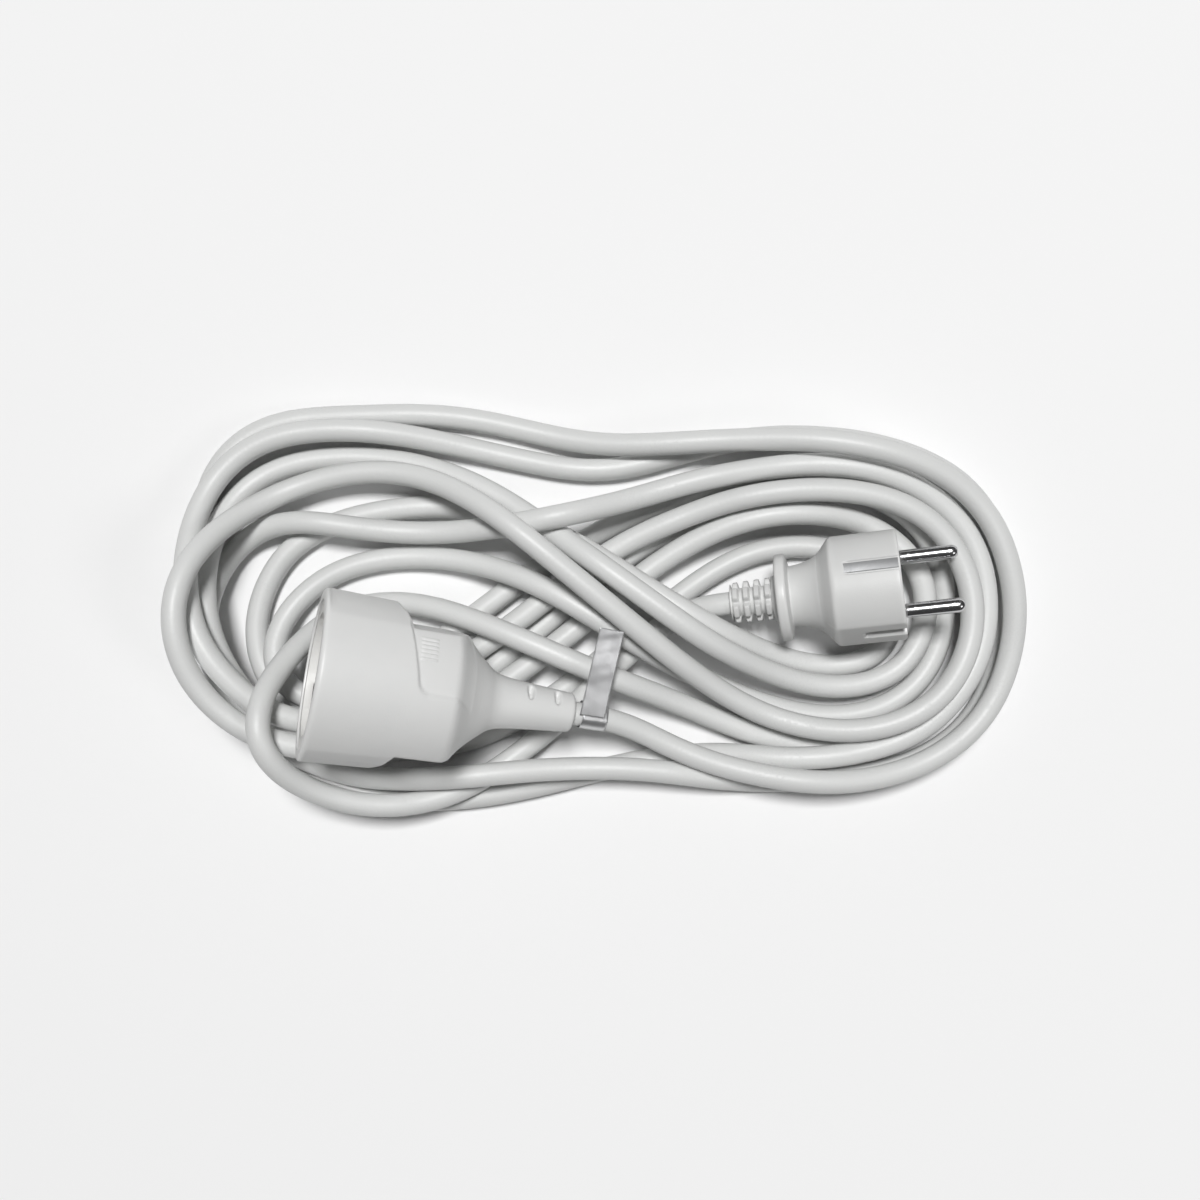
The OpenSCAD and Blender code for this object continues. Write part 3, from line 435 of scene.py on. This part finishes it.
def moulded(name, seated, outer, inner, around, shape):
    """A closed shell turned from its outer and inner outlines, then shaped by flats and recesses."""
    ring = np.concatenate((outer, inner))
    r, turn = np.meshgrid(ring[:, 0], around, indexing="ij")
    s = np.repeat(ring[:, 1:], len(around), axis=1)
    r, wear_and_highlight = shape(r, s, turn, np.arange(len(ring))[:, None] < len(outer))
    points = np.stack((r * np.cos(turn), r * np.sin(turn), -s), -1).reshape(-1, 3)
    m, n = len(ring), len(around)
    i, j = np.meshgrid(np.arange(m), np.arange(n), indexing="ij")
    i2, j2 = (i + 1) % m, (j + 1) % n
    faces = np.stack((i * n + j, i2 * n + j, i2 * n + j2, i * n + j2), -1).reshape(-1, 4)
    mesh = bpy.data.meshes.new(name)
    mesh.from_pydata(points.tolist(), [], faces.tolist())
    mesh.transform(seated)
    # wear on the edges, which the finish also paints lighter as a painted highlight
    rubbed_and_highlit = mesh.attributes.new("wear_and_highlight", "FLOAT", "POINT")
    rubbed_and_highlit.data.foreach_set("value", wear_and_highlight.ravel().astype(np.float32))
    whole = bmesh.new()
    whole.from_mesh(mesh)
    bmesh.ops.remove_doubles(whole, verts=whole.verts, dist=1e-7)
    bmesh.ops.recalc_face_normals(whole, faces=whole.faces)
    whole.to_mesh(mesh)
    whole.free()
    mesh.shade_smooth()
    return put(name, mesh)


def grip_flats(s):
    """Half the width left by the cut on each side: none at the barrel, then down to the grip."""
    left = (40, BARREL_R + 0.6, BARREL_R - 1.2, BARREL_R - 3.6, BARREL_R - GRIP_CUT)
    return np.interp(s, (0, 21.6, 23.6, 25.8, 27.6), left)


def coupler_shape(r, s, turn, outside):
    """The mould's facets, flats, thumb pads, ribs, windows and parting line, cut into the turned outline."""
    turned = r
    side = abs(np.cos(turn + FLATS_ROLL)) + 1e-6
    across = r * np.cos(turn)
    facing = abs(np.sin(turn))
    # two shallow facets on each side of the barrel, which meet over the grip's flat
    off = abs((turn + FLATS_ROLL + np.pi / 2) % np.pi - np.pi / 2) - FACET_HALF
    chord = np.where(abs(off) < FACET_HALF, np.cos(FACET_HALF) / np.cos(off), 1)
    r = r * (1 - 0.55 * (1 - chord) * outside * eased(s, 0.4, 2.5) * eased(-s, -46, -43))
    # the side flats, and the hollow's own flats a thin wall inside them
    flat = np.where(outside, grip_flats(s), np.where(s > 26, BARREL_R - GRIP_CUT - 0.8, 40))
    r = lesser(r, flat / side, np.where(outside, 0.7, 0.05))
    # thumb pads, one on each side of the pins' line, with fine ribs along them
    over = across * np.sign(np.sin(turn))
    edge = plate(over + 2.2, s - PAD_MID - PAD_LEAN * (over + 10.4), PAD_HALF_WIDE, PAD_HALF_LONG, 3.2)
    pad = eased(-edge, -0.3, 0.6) * (facing > 0.5) * outside
    sunk = np.interp(s, (26, 43, 45.5, 49), (1.3, 1.2, 0.8, 0))
    rib = np.zeros_like(r)
    for k in range(RIBS):
        middle = RIB_PITCH * (k - (RIBS - 1) / 2) - RIBS_OFF
        rib = np.maximum(rib, eased(0.65 - abs(over - middle), 0, 0.4))
    rib = rib * eased(s, 29.6, 30.4) * eased(-s, -35.2, -34.4)
    r = r + pad * (np.minimum(r, turned - sunk + RIB_HIGH * rib) - r)
    # two windows in the neck on each pad's side, which let it bend
    for place in WINDOWS_AT:
        for way in (WINDOWS_TURN, WINDOWS_TURN + np.pi):
            off = abs(np.angle(np.exp(1j * (turn - way)))) * r
            slot = eased(1.1 - np.hypot((s - place) / 1.15, off / 3.1), 0, 0.45) * outside
            r = r - slot * np.maximum(r - WINDOW_FLOOR, 0)
    # parting line of the mould, a hair proud
    seam = np.exp(-((r * np.sin(turn) / 0.16) ** 2)) * outside * eased(s, 2, 4) * eased(-s, -83.5, -82)
    r = r + 0.09 * seam
    # the rim, the pads' edges, the parting line and the barrel's rear edge are rubbed glossy and painted
    # lighter: a painted highlight on the edges
    rubbed_highlit_edge = eased(pad, 0.02, 0.3) * eased(-pad, -0.98, -0.7) * eased(-s, -44, -41)
    wear_and_highlight = outside * (eased(-s, -2.2, -0.2) + 0.4 * rubbed_highlit_edge + 0.5 * seam)
    wear_and_highlight = wear_and_highlight + outside * np.exp(-(((s - 43.6) / 0.8) ** 2)) * (r > 19)
    return r, np.clip(wear_and_highlight, 0, 1)


def pace(s):
    """Points lie close together where the moulding has small forms."""
    return 0.3 if s < 2.4 else 0.42 if 21 < s < 52 else 1.6 if s < 30 else 0.5 if 66 < s < 81 else 0.8


coupler_outer = outline((
    (23.45, 1.2, 0), (23.75, 0, 0.3), (BARREL_R, 0, 2.0), (BARREL_R - 0.6, 18, 5), (BARREL_R - 1.4, 37, 3),
    (BARREL_R - 1.9, 42.6, 1.4), (23.6, 44.2, 0.8), (16.6, 49.2, 5), (9.4, 57.8, 2.2), (8.4, 62, 3),
    (7.4, 72, 6), (6.45, 85, 1.3), (4.0, 85, 0.3), (3.93, 84.2, 0),
), pace)
coupler_inner = outline((
    (3.93, 83, 0), (3.93, 60, 1), (12.5, 48.6, 0), (12.5, 42.7, 0), (23.42, 42.1, 0), (23.42, 2, 0),
), lambda s: 2.5)
all_round = np.linspace(-0.1, 2 * np.pi - 0.1, 220, endpoint=False)
near_seam = np.linspace(-0.03, 0.03, 11)
near_ribs = np.radians(np.linspace(88, 111, 60))
around = np.unique(np.round(np.concatenate((
    all_round, near_seam, near_seam + np.pi, near_ribs, near_ribs + np.pi,
)), 4))
coupler = moulded("coupler_housing", coupler_seat, coupler_outer, coupler_inner, around, coupler_shape)


def soft_mould_finish(name, light, shade):
    """Soft PVC from a spark-eroded mould: half matt, pimpled, with flow marks, polished where it rubs and
    painted lighter there, a painted highlight on its edges.
    """
    f = Finish(name)
    rubbed_and_highlit = f.add("ShaderNodeAttribute", {"attribute_name": "wear_and_highlight"}, out="Fac")
    flow, mottle = f.cloud(0.035, 4), f.cloud(0.006, 3)
    pimples, dust = f.cloud(0.00035, 2), f.cloud(0.0022, 5)
    specks = dust.above(0.76, 0.05)
    tone = f.between(flow * 0.65 + mottle * 0.35, light, shade)
    tone = f.between(specks * 0.18, tone, (0.40, 0.39, 0.37))
    # painted highlight: the rubbed edges are painted lighter as well as made glossier
    tone = f.between(rubbed_and_highlit * 0.35, tone, (0.80, 0.80, 0.79))
    return f.show(
        Base_Color=tone,
        Roughness=0.40 + flow * 0.12 + pimples * 0.06 - rubbed_and_highlit * 0.14,
        Normal=f.relief(pimples * 0.35 + mottle * 0.5 + flow * 2.0, 0.00009),
    )


coupler.data.materials.append(soft_mould_finish("coupler overmould", (0.70, 0.70, 0.69), (0.63, 0.635, 0.63)))
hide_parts("coupler_body")
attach(coupler, "cord_set")

# ---------------------------------------------------------------- plug housing
# The plug end's overmould of the same soft PVC: a block with two flats, a waisted grip with a finger flange,
# and a strain relief of four lumpy rings that let the cord bend.
PLUG_LONG, PLUG_ROLL, BLOCK_R, FLAT_HALF, GRIP_R, FLANGE_R = 56.0, 66, 18.25, 16.6, 10.2, 14.5
GROOVE_FLOOR, CHANNEL_FLOOR = 14.05, 17.4
RING_PITCH, RELIEF_LOW, LUMPS_TURN = 3.6, 4.7, np.radians(24)
plug_face = plug_exit + plug_way * PLUG_LONG / 1000
plug_seat = seat(plug_face, PLUG_TURN, PLUG_TILT, PLUG_ROLL)


def plug_shape(r, s, turn, outside):
    """The mould's flats, grooves, channels and lumps, cut into the turned outline."""
    x, y = r * np.cos(turn), r * np.sin(turn)
    flat = FLAT_HALF / (abs(np.cos(turn)) + 1e-6)
    r = np.where(outside & (s < 26), lesser(r, flat, 0.35), r)
    # guide groove in each flat
    groove = eased(-plate(y, s - 4.5, 2.8, 8.5, 1.2), -0.1, 0.35) * (abs(np.cos(turn)) > 0.7) * outside
    r = r + groove * (np.minimum(r, GROOVE_FLOOR / (abs(np.cos(turn)) + 1e-6)) - r)
    # channel for each earth clip
    channel = eased(-plate(x, s - 6.0, 2.5, 11.1, 0.6), -0.1, 0.3) * (abs(np.sin(turn)) > 0.7) * outside
    r = r + channel * (np.minimum(r, CHANNEL_FLOOR / (abs(np.sin(turn)) + 1e-6)) - r)
    # lumpy rings of the strain relief, six lumps round each
    ring = np.cos((s - 54.2) * 2 * np.pi / RING_PITCH)
    lump = eased(abs(np.cos(3 * (turn - LUMPS_TURN))), 0.05, 0.75)
    relief = RELIEF_LOW + (r - RELIEF_LOW) * eased(ring, -0.75, 0.35) * (0.3 + 0.7 * lump)
    r = np.where(outside & (s > 42.2) & (s < 55.9), np.minimum(r, relief), r)
    # the front and rear edges of the block, the flange's rim and the flats' corners are rubbed glossy and
    # painted lighter: a painted highlight on the edges
    wear_and_highlight = outside * (eased(-s, -1.6, -0.1) + np.exp(-(((s - 21.6) / 0.9) ** 2)) * (r > 15))
    wear_and_highlight = wear_and_highlight + outside * np.exp(-(((s - 38) / 2.4) ** 2)) * eased(r, 13.6, 14.8)
    corner = np.exp(-(((flat - BLOCK_R) / 0.25) ** 2)) * (abs(np.cos(turn)) > 0.7)
    wear_and_highlight = wear_and_highlight + outside * (s < 25) * corner
    return r, np.clip(wear_and_highlight, 0, 1)


plug_outer = outline((
    (14.25, 0.3, 0), (14.4, 0, 0.15), (BLOCK_R, 0, 1.1), (BLOCK_R, 21.9, 1.3), (16.6, 23.3, 1.0),
    (12.6, 26.4, 3.2), (GRIP_R + 0.5, 31, 2.8), (GRIP_R - 0.1, 36.0, 0.5), (13.0, 36.5, 0.6),
    (FLANGE_R, 36.9, 1.0), (FLANGE_R, 40.2, 1.1), (8.0, 40.8, 0.6), (7.1, 42.2, 0.8), (7.0, 49, 3),
    (6.7, 56, 0.9), (4.0, 56, 0.3), (3.93, 55.4, 0),
), lambda s: 0.4 if s < 2 or 22 < s < 29 or 33 < s < 43 else 0.28 if s > 43 else 0.9)
plug_inner = outline((
    (3.93, 54.5, 0), (3.93, 39, 0), (13.3, 26, 0), (13.3, 10.3, 0), (14.24, 10.1, 0), (14.24, 0.8, 0),
), lambda s: 2.0)
# turning steps lie closer at the edges of the grooves and channels
plug_around = [np.linspace(0, 2 * np.pi, 260, endpoint=False)]
for quarter in range(4):
    for edge_at in (quarter * np.pi / 2 + 0.14, (quarter + 1) * np.pi / 2 - 0.14):
        plug_around.append(np.linspace(edge_at - 0.03, edge_at + 0.03, 7))
plug_around = np.unique(np.round(np.concatenate(plug_around) % (2 * np.pi), 4))
plug = moulded("plug_housing", plug_seat, plug_outer, plug_inner, plug_around, plug_shape)
plug.data.materials.append(soft_mould_finish("plug overmould", (0.65, 0.65, 0.64), (0.585, 0.59, 0.585)))
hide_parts("plug_body")
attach(plug, "cord_set")

# ---------------------------------------------------------------- pins
# Two turned brass pins, 4.8 mm thick and 19 mm long, nickel plated, with round tips and a thinner stem
# that is caught in the hard bridge.


def plated_finish(name, light, dark, rough):
    """Bright plating over turned brass: hazy in places, dulled where contacts have rubbed."""
    f = Finish(name, Metallic=1.0)
    haze, scuffs = f.cloud(0.004, 3), f.cloud(0.0013, 4).above(0.66, 0.08)
    return f.show(
        Base_Color=f.between(haze * 0.6 + scuffs * 0.4, light, dark),
        Roughness=rough + haze * 0.08 + scuffs * 0.12,
        Normal=f.relief(haze, 0.00001),
    )


nickel = plated_finish("nickel plating", (0.66, 0.66, 0.67), (0.54, 0.54, 0.55), 0.16)
PIN_R, PIN_LONG, PIN_OFF = 2.4, 19, 9.5
pin_outline = outline((
    (0, -PIN_LONG, 0), (1.2, -PIN_LONG, 0.5), (PIN_R, 1.3 - PIN_LONG, 1.5), (PIN_R, -0.5, 0.15),
    (2.1, -0.45, 0), (2.1, 5, 0), (3.1, 5, 0), (3.1, 8, 0), (1.5, 8, 0), (1.5, 21.5, 0), (0, 21.5, 0),
), lambda s: 0.35 if s < -15 else 1.4)


def plain_turning(r, s, turn, outside):
    """A turned piece as it is, with nothing cut into it and nothing rubbed."""
    return r + 0 * turn, 0 * turn


for name, off in (("line_pin", PIN_OFF), ("neutral_pin", -PIN_OFF)):
    pin = moulded(
        name + "_turned", plug_seat @ Matrix.Translation((off, 0, 0)), pin_outline, pin_outline[:0],
        np.linspace(0, 2 * np.pi, 72, endpoint=False), plain_turning,
    )
    pin.data.materials.append(nickel)
    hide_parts(name)
    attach(pin, "cord_set")

# ---------------------------------------------------------------- hard parts and metal parts
# Turned, stamped and moulded small parts: each keeps the form of its solid, with its edges broken
# and its round faces smooth.


def finished(name, finish, slot, body="cord_set", broken=0.12):
    """A solid's own form with round faces smoothed and edges broken by so many millimetres."""
    solid = bmesh.new()
    solid.from_mesh(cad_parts[name].data)
    bmesh.ops.remove_doubles(solid, verts=solid.verts, dist=2e-6)
    bmesh.ops.dissolve_limit(solid, angle_limit=math.radians(0.8), verts=solid.verts, edges=solid.edges)
    mesh = bpy.data.meshes.new(name + "_finished")
    solid.to_mesh(mesh)
    solid.free()
    mesh.materials.clear()
    mesh.materials.append(finish)
    mesh.shade_smooth()
    piece = put(name + "_finished", mesh)
    edge = piece.modifiers.new("broken edges", "BEVEL")
    edge.width, edge.segments, edge.harden_normals = broken / 1000, 2, True
    edge.limit_method, edge.angle_limit = "ANGLE", math.radians(35)
    piece = settle_into_mesh(piece)
    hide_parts(name)
    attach(piece, body)
    return piece


def hard_plastic_finish(name, light, shade):
    """Half glossy thermoset: even colour, hardly any mottle, fine scratches."""
    f = Finish(name)
    mottle, scratch = f.cloud(0.012, 3), f.cloud(0.0009, 5).above(0.66, 0.04)
    return f.show(
        Base_Color=f.between(mottle * 0.6 + scratch * 0.4, light, shade),
        Roughness=0.42 + mottle * 0.12 + scratch * 0.15,
        Normal=f.relief(mottle + scratch * 0.3, 0.00004),
    )


def stamped_finish(name, light, dark, rough):
    """Rolled sheet metal: streaks of the rolling, light tarnish."""
    f = Finish(name, Metallic=1.0)
    place = f.add("ShaderNodeMapping", {}, {"Vector": f.place(), "Scale": (1, 1, 9)})
    streaks, tarnish = f.cloud(0.0012, 3, place), f.cloud(0.005, 4)
    return f.show(
        Base_Color=f.between(tarnish * 0.7 + streaks * 0.3, light, dark),
        Roughness=rough + streaks * 0.15 + tarnish * 0.12,
        Normal=f.relief(streaks, 0.00003),
    )


def insulation_finish(name, colour, shade):
    """Thin coloured core insulation."""
    f = Finish(name)
    mottle = f.cloud(0.002, 3)
    return f.show(
        Base_Color=f.between(mottle, colour, shade),
        Roughness=0.35 + mottle * 0.15,
        Normal=f.relief(mottle, 0.00003),
    )


insert_white = hard_plastic_finish("hard white insert", (0.76, 0.755, 0.735), (0.70, 0.695, 0.68))
shutter_white = hard_plastic_finish("shutter plastic", (0.80, 0.80, 0.79), (0.74, 0.74, 0.73))
tinned = stamped_finish("plated strip steel", (0.50, 0.505, 0.51), (0.38, 0.385, 0.39), 0.5)
brass = stamped_finish("brass", (0.72, 0.53, 0.24), (0.52, 0.36, 0.15), 0.25)
brown = insulation_finish("brown insulation", (0.20, 0.085, 0.035), (0.15, 0.06, 0.025))
blue = insulation_finish("blue insulation", (0.05, 0.20, 0.52), (0.035, 0.15, 0.42))
green = insulation_finish("green and yellow insulation", (0.30, 0.45, 0.04), (0.62, 0.55, 0.03))
BROKEN_BY = {"steel": 0.06, "brass": 0.06}  # sheet metal has finer edges than a moulding
for name, finish, slot in (
    ("coupler_insert", insert_white, "insert"), ("coupler_insert_back", insert_white, "insert"),
    ("shutter_spring", tinned, "steel"), ("coupler_earth_strap", tinned, "steel"),
    ("coupler_crimps", tinned, "steel"),
    ("coupler_line_contact", brass, "brass"), ("coupler_neutral_contact", brass, "brass"),
    ("coupler_line_core", brown, "core_brown"), ("coupler_neutral_core", blue, "core_blue"),
    ("coupler_earth_core", green, "core_green"),
):
    finished(name, finish, slot, broken=BROKEN_BY.get(slot, 0.15))
finished("shutter_rotor", shutter_white, "shutter", "shutter")
for name, finish, slot in (
    ("plug_pin_bridge", insert_white, "insert"), ("plug_earth_strap", tinned, "steel"),
    ("plug_crimps", tinned, "steel"),
    ("plug_earth_sleeve", brass, "brass"), ("plug_line_core", brown, "core_brown"),
    ("plug_neutral_core", blue, "core_blue"), ("plug_earth_core", green, "core_green"),
):
    finished(name, finish, slot, broken=BROKEN_BY.get(slot, 0.15))

# the earth clips' free limbs are narrowed, so that they lie with a gap on each side in their channels
LIMB_Y, LIMB_SHARE = 16, 0.7
clips, into_plug = bpy.data.objects["plug_earth_strap_finished"].data, plug_seat.inverted()
for corner in clips.vertices:
    at = into_plug @ corner.co
    if abs(at.y) > LIMB_Y:
        corner.co = plug_seat @ Vector((at.x * LIMB_SHARE, at.y, at.z))

# ---------------------------------------------------------------- foil flag
# A strip of bare metallised film, stuck round the coupler's lead and onto itself, with a free tail that waves
# a little. It carries no print.
FLAG_W, FLAG_LONG, FILM, WRAP_R = 8.5, 30.0, 0.12, 4.52
TAIL_TURN, TAIL_RISE = COUPLER_TURN - 93, 9
# in metres: how far behind the coupler the wrap is, and how high over the lead's middle the tail begins
WRAP_BEHIND, TAIL_OVER = 0.0073, 0.00468
wrap_at = coupler_exit - coupler_way * WRAP_BEHIND
wrap = seat(wrap_at, COUPLER_TURN, COUPLER_TILT, 0)
tail = Matrix.Translation(wrap_at + Vector((0, 0, TAIL_OVER)))
for angle, axis in ((TAIL_TURN, "Z"), (-TAIL_RISE, "Y"), (COUPLER_TILT, "X")):
    tail = tail @ Matrix.Rotation(math.radians(angle), 4, axis)
tail = tail @ MM
strip = bmesh.new()
FINE = 17


def lay_strip(rows, frame_of, place):
    """A ribbon of faces from one end of the strip to the other."""
    before = None
    for k in range(rows):
        points = [place(k / (rows - 1), w, FLAG_W * (w / (FINE - 1) - 0.5)) for w in range(FINE)]
        row = [strip.verts.new(frame_of @ Vector(p)) for p in points]
        if before:
            for w in range(FINE - 1):
                strip.faces.new((before[w], row[w], row[w + 1], before[w + 1]))
        before = row


def round_the_lead(share, w, across):
    """A point of the wrap: a turn that isn't quite round."""
    turn = 2 * math.pi * share
    radius = WRAP_R + 0.05 * math.sin(3 * turn + 0.4) + 0.03 * math.sin(7 * turn)
    return radius * math.cos(turn), radius * math.sin(turn), across


def along_the_tail(share, w, across):
    """A point of the free tail, with a long wave and a ripple that grows towards its end."""
    along = 0.2 + (FLAG_LONG - 0.3) * share
    ripple = 0.05 * math.sin(along * 1.3 + w * 0.25) * along / FLAG_LONG
    return along, across, 0.16 + 0.07 * math.sin(along * 0.42 + 0.6) + ripple


lay_strip(65, wrap, round_the_lead)
lay_strip(61, tail, along_the_tail)
bmesh.ops.remove_doubles(strip, verts=strip.verts, dist=2e-6)
bmesh.ops.recalc_face_normals(strip, faces=strip.faces)
foil_mesh = bpy.data.meshes.new("foil_flag")
strip.to_mesh(foil_mesh)
strip.free()
foil_mesh.shade_smooth()
flag = put("foil_flag", foil_mesh)
film = flag.modifiers.new("film", "SOLIDIFY")
film.thickness, film.offset = FILM / 1000, 0
f = Finish("metallised film", Metallic=0.92)
crease, haze, handled = f.cloud(0.014, 2), f.cloud(0.016, 3), f.cloud(0.0011, 3)
foil_mesh.materials.append(f.show(
    Base_Color=f.between(haze * 0.6 + handled * 0.2, (0.78, 0.78, 0.79), (0.64, 0.645, 0.65)),
    Roughness=0.27 + haze * 0.14 + handled * 0.06,
    Normal=f.relief(crease + handled * 0.02, 0.0004),
))
flag = settle_into_mesh(flag)
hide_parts("label")
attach(flag, "cord_set")

# ---------------------------------------------------------------- the cord's centre points, listed and not used
[tuple(p) for p in centre]

# ---------------------------------------------------------------- floor and light
# A pale paper floor, a large soft box high over the laps, a weak one at the side and a faint even fill.
FLOOR_HALF = 3
floor = put("floor", bpy.data.meshes.new("floor"))
corners = [(x * FLOOR_HALF, y * FLOOR_HALF, 0) for x, y in ((-1, -1), (1, -1), (1, 1), (-1, 1))]
floor.data.from_pydata(corners, [], [(0, 1, 2, 3)])
floor.data.materials.append(Finish("pale paper").show(
    Base_Color=(0.86, 0.86, 0.86, 1), Roughness=0.9, Specular_IOR_Level=0.2,
))

for name, size, place, power in (
    ("key_box", 1.1, (-0.2, 1.4, 4.9), 246.0),
    ("side_box", 0.5, (1.1, -0.6, 1.3), 3.5),
):
    lamp = bpy.data.lights.new(name, "AREA")
    lamp.size, lamp.energy = size, power
    stand = put(name, lamp)
    stand.location = place
    stand.rotation_euler = (-Vector(place)).to_track_quat("-Z", "Y").to_euler()
world = bpy.data.worlds.new("studio")
world.use_nodes = True
fill = world.node_tree.nodes["Background"].inputs
fill["Color"].default_value = (1, 1, 1, 1)
fill["Strength"].default_value = 0.05
bpy.context.scene.world = world
bpy.context.scene.view_settings.view_transform = "Standard"
